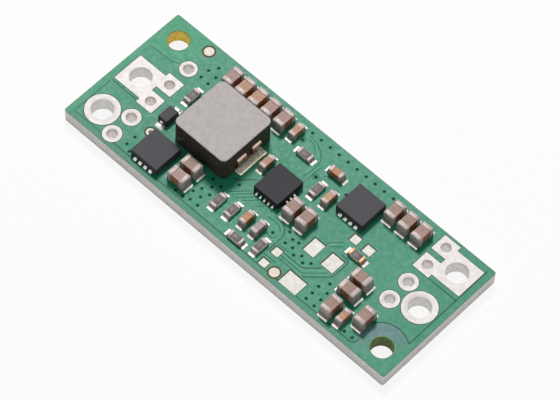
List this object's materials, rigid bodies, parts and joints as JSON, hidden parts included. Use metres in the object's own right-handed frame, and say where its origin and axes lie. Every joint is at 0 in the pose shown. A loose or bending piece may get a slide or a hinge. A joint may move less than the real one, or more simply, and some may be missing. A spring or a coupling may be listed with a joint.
{
  "type": "boost converter module",
  "caption": "Bare circuit board module with a moulded power inductor, flat power packages, ceramic chip capacitors, and plated pin and terminal holes at both ends.",
  "frame": {"origin": "middle of the board's underside", "axes": "+X from the input end to the output end, +Y from the front edge to the back edge, +Z out of the component side"},
  "size_m": [0.0406, 0.0152, 0.0046],
  "materials": {
    "solder_mask": "satin",
    "laminate": "matte",
    "hole_wall": "matte",
    "land_tin": "satin",
    "solder": "polished",
    "test_point_gold": "satin",
    "inductor_grey": "satin",
    "inductor_side": "matte",
    "strip_copper": "satin",
    "coil_copper": "satin",
    "package_black": "satin",
    "leadframe_tin": "satin",
    "chip_end_tin": "satin",
    "ceramic_rose": "satin",
    "ceramic_tan": "satin",
    "ceramic_brown": "satin",
    "ceramic_orange": "satin",
    "ceramic_lilac": "satin",
    "resistor_black": "satin",
    "resistor_white": "matte"
  },
  "bodies": {
    "root": {"bare_solder_pads": "land_tin", "board": "solder_mask", "centre_capacitor_1": "ceramic_brown", "centre_capacitor_2": "ceramic_brown", "chip_solder_joints": "solder", "controller_leadframe": "leadframe_tin", "controller_package": "package_black", "diode_body": "package_black", "diode_leads": "leadframe_tin", "fiducial_marks": "land_tin", "inductor_body": "inductor_grey", "inductor_coil": "coil_copper", "inductor_input_strip": "strip_copper", "inductor_output_strip": "strip_copper", "input_capacitor_1": "ceramic_rose", "input_capacitor_2": "ceramic_tan", "input_capacitor_3": "ceramic_tan", "input_capacitor_4": "ceramic_rose", "input_capacitor_5": "ceramic_rose", "input_capacitor_6": "ceramic_tan", "input_capacitor_7": "ceramic_brown", "input_transistor_leadframe": "leadframe_tin", "input_transistor_package": "package_black", "output_capacitor_1": "ceramic_brown", "output_capacitor_2": "ceramic_brown", "output_capacitor_3": "ceramic_brown", "output_capacitor_4": "ceramic_brown", "output_capacitor_5": "ceramic_brown", "output_capacitor_6": "ceramic_brown", "output_capacitor_7": "ceramic_brown", "output_transistor_leadframe": "leadframe_tin", "output_transistor_package": "package_black", "package_solder_joints": "solder", "resistor_1": "resistor_black", "resistor_2": "resistor_black", "resistor_3": "resistor_black", "resistor_4": "resistor_black", "resistor_5": "resistor_black", "resistor_6": "resistor_black", "resistor_7": "resistor_black", "resistor_8": "resistor_black", "small_capacitor_1": "ceramic_orange", "small_capacitor_2": "ceramic_orange", "small_capacitor_3": "ceramic_tan", "small_capacitor_4": "ceramic_brown", "small_capacitor_5": "ceramic_orange", "small_capacitor_6": "ceramic_lilac", "small_capacitor_7": "ceramic_orange"}
  },
  "joints": []
}
